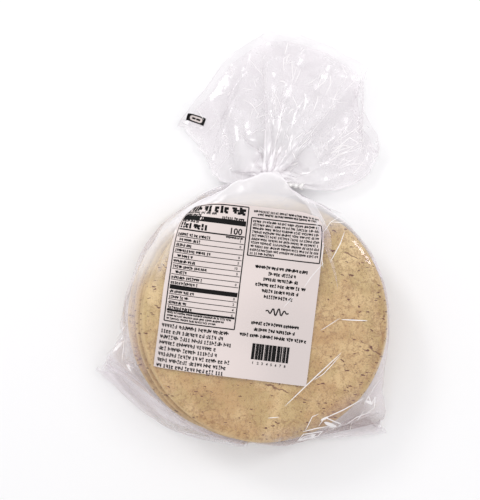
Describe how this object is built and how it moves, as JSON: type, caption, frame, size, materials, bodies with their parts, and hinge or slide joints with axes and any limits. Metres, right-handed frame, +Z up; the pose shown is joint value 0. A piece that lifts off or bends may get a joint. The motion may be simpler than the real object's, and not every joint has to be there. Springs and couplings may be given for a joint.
{
  "type": "bagged pita bread",
  "caption": "Stack of round flatbreads inside a clear gathered film bag, lying flat, with the neck tied and the free end fanned out.",
  "frame": {"origin": "centre of the bottom of the whole bag's box, on the surface it lies on", "axes": "+Z up through the stack of breads, +Y from the bottom seal towards the bag's mouth"},
  "size_m": [0.2446, 0.339, 0.0507],
  "materials": {
    "pita_crust": "matt tan crust, finely mottled, with small dark bran flecks and toasted edges",
    "bag_film": "clear thin film, glossy and crumpled",
    "print_white": "opaque white ink on the film",
    "print_ink": "black ink on the film",
    "twist_tie": "white paper over a thin wire"
  },
  "bodies": {
    "root": {"pita_1": "pita_crust", "pita_2": "pita_crust", "pita_3": "pita_crust", "pita_4": "pita_crust", "pita_5": "pita_crust", "pita_6": "pita_crust", "film_bag": "bag_film", "twist_tie": "twist_tie"}
  },
  "joints": []
}
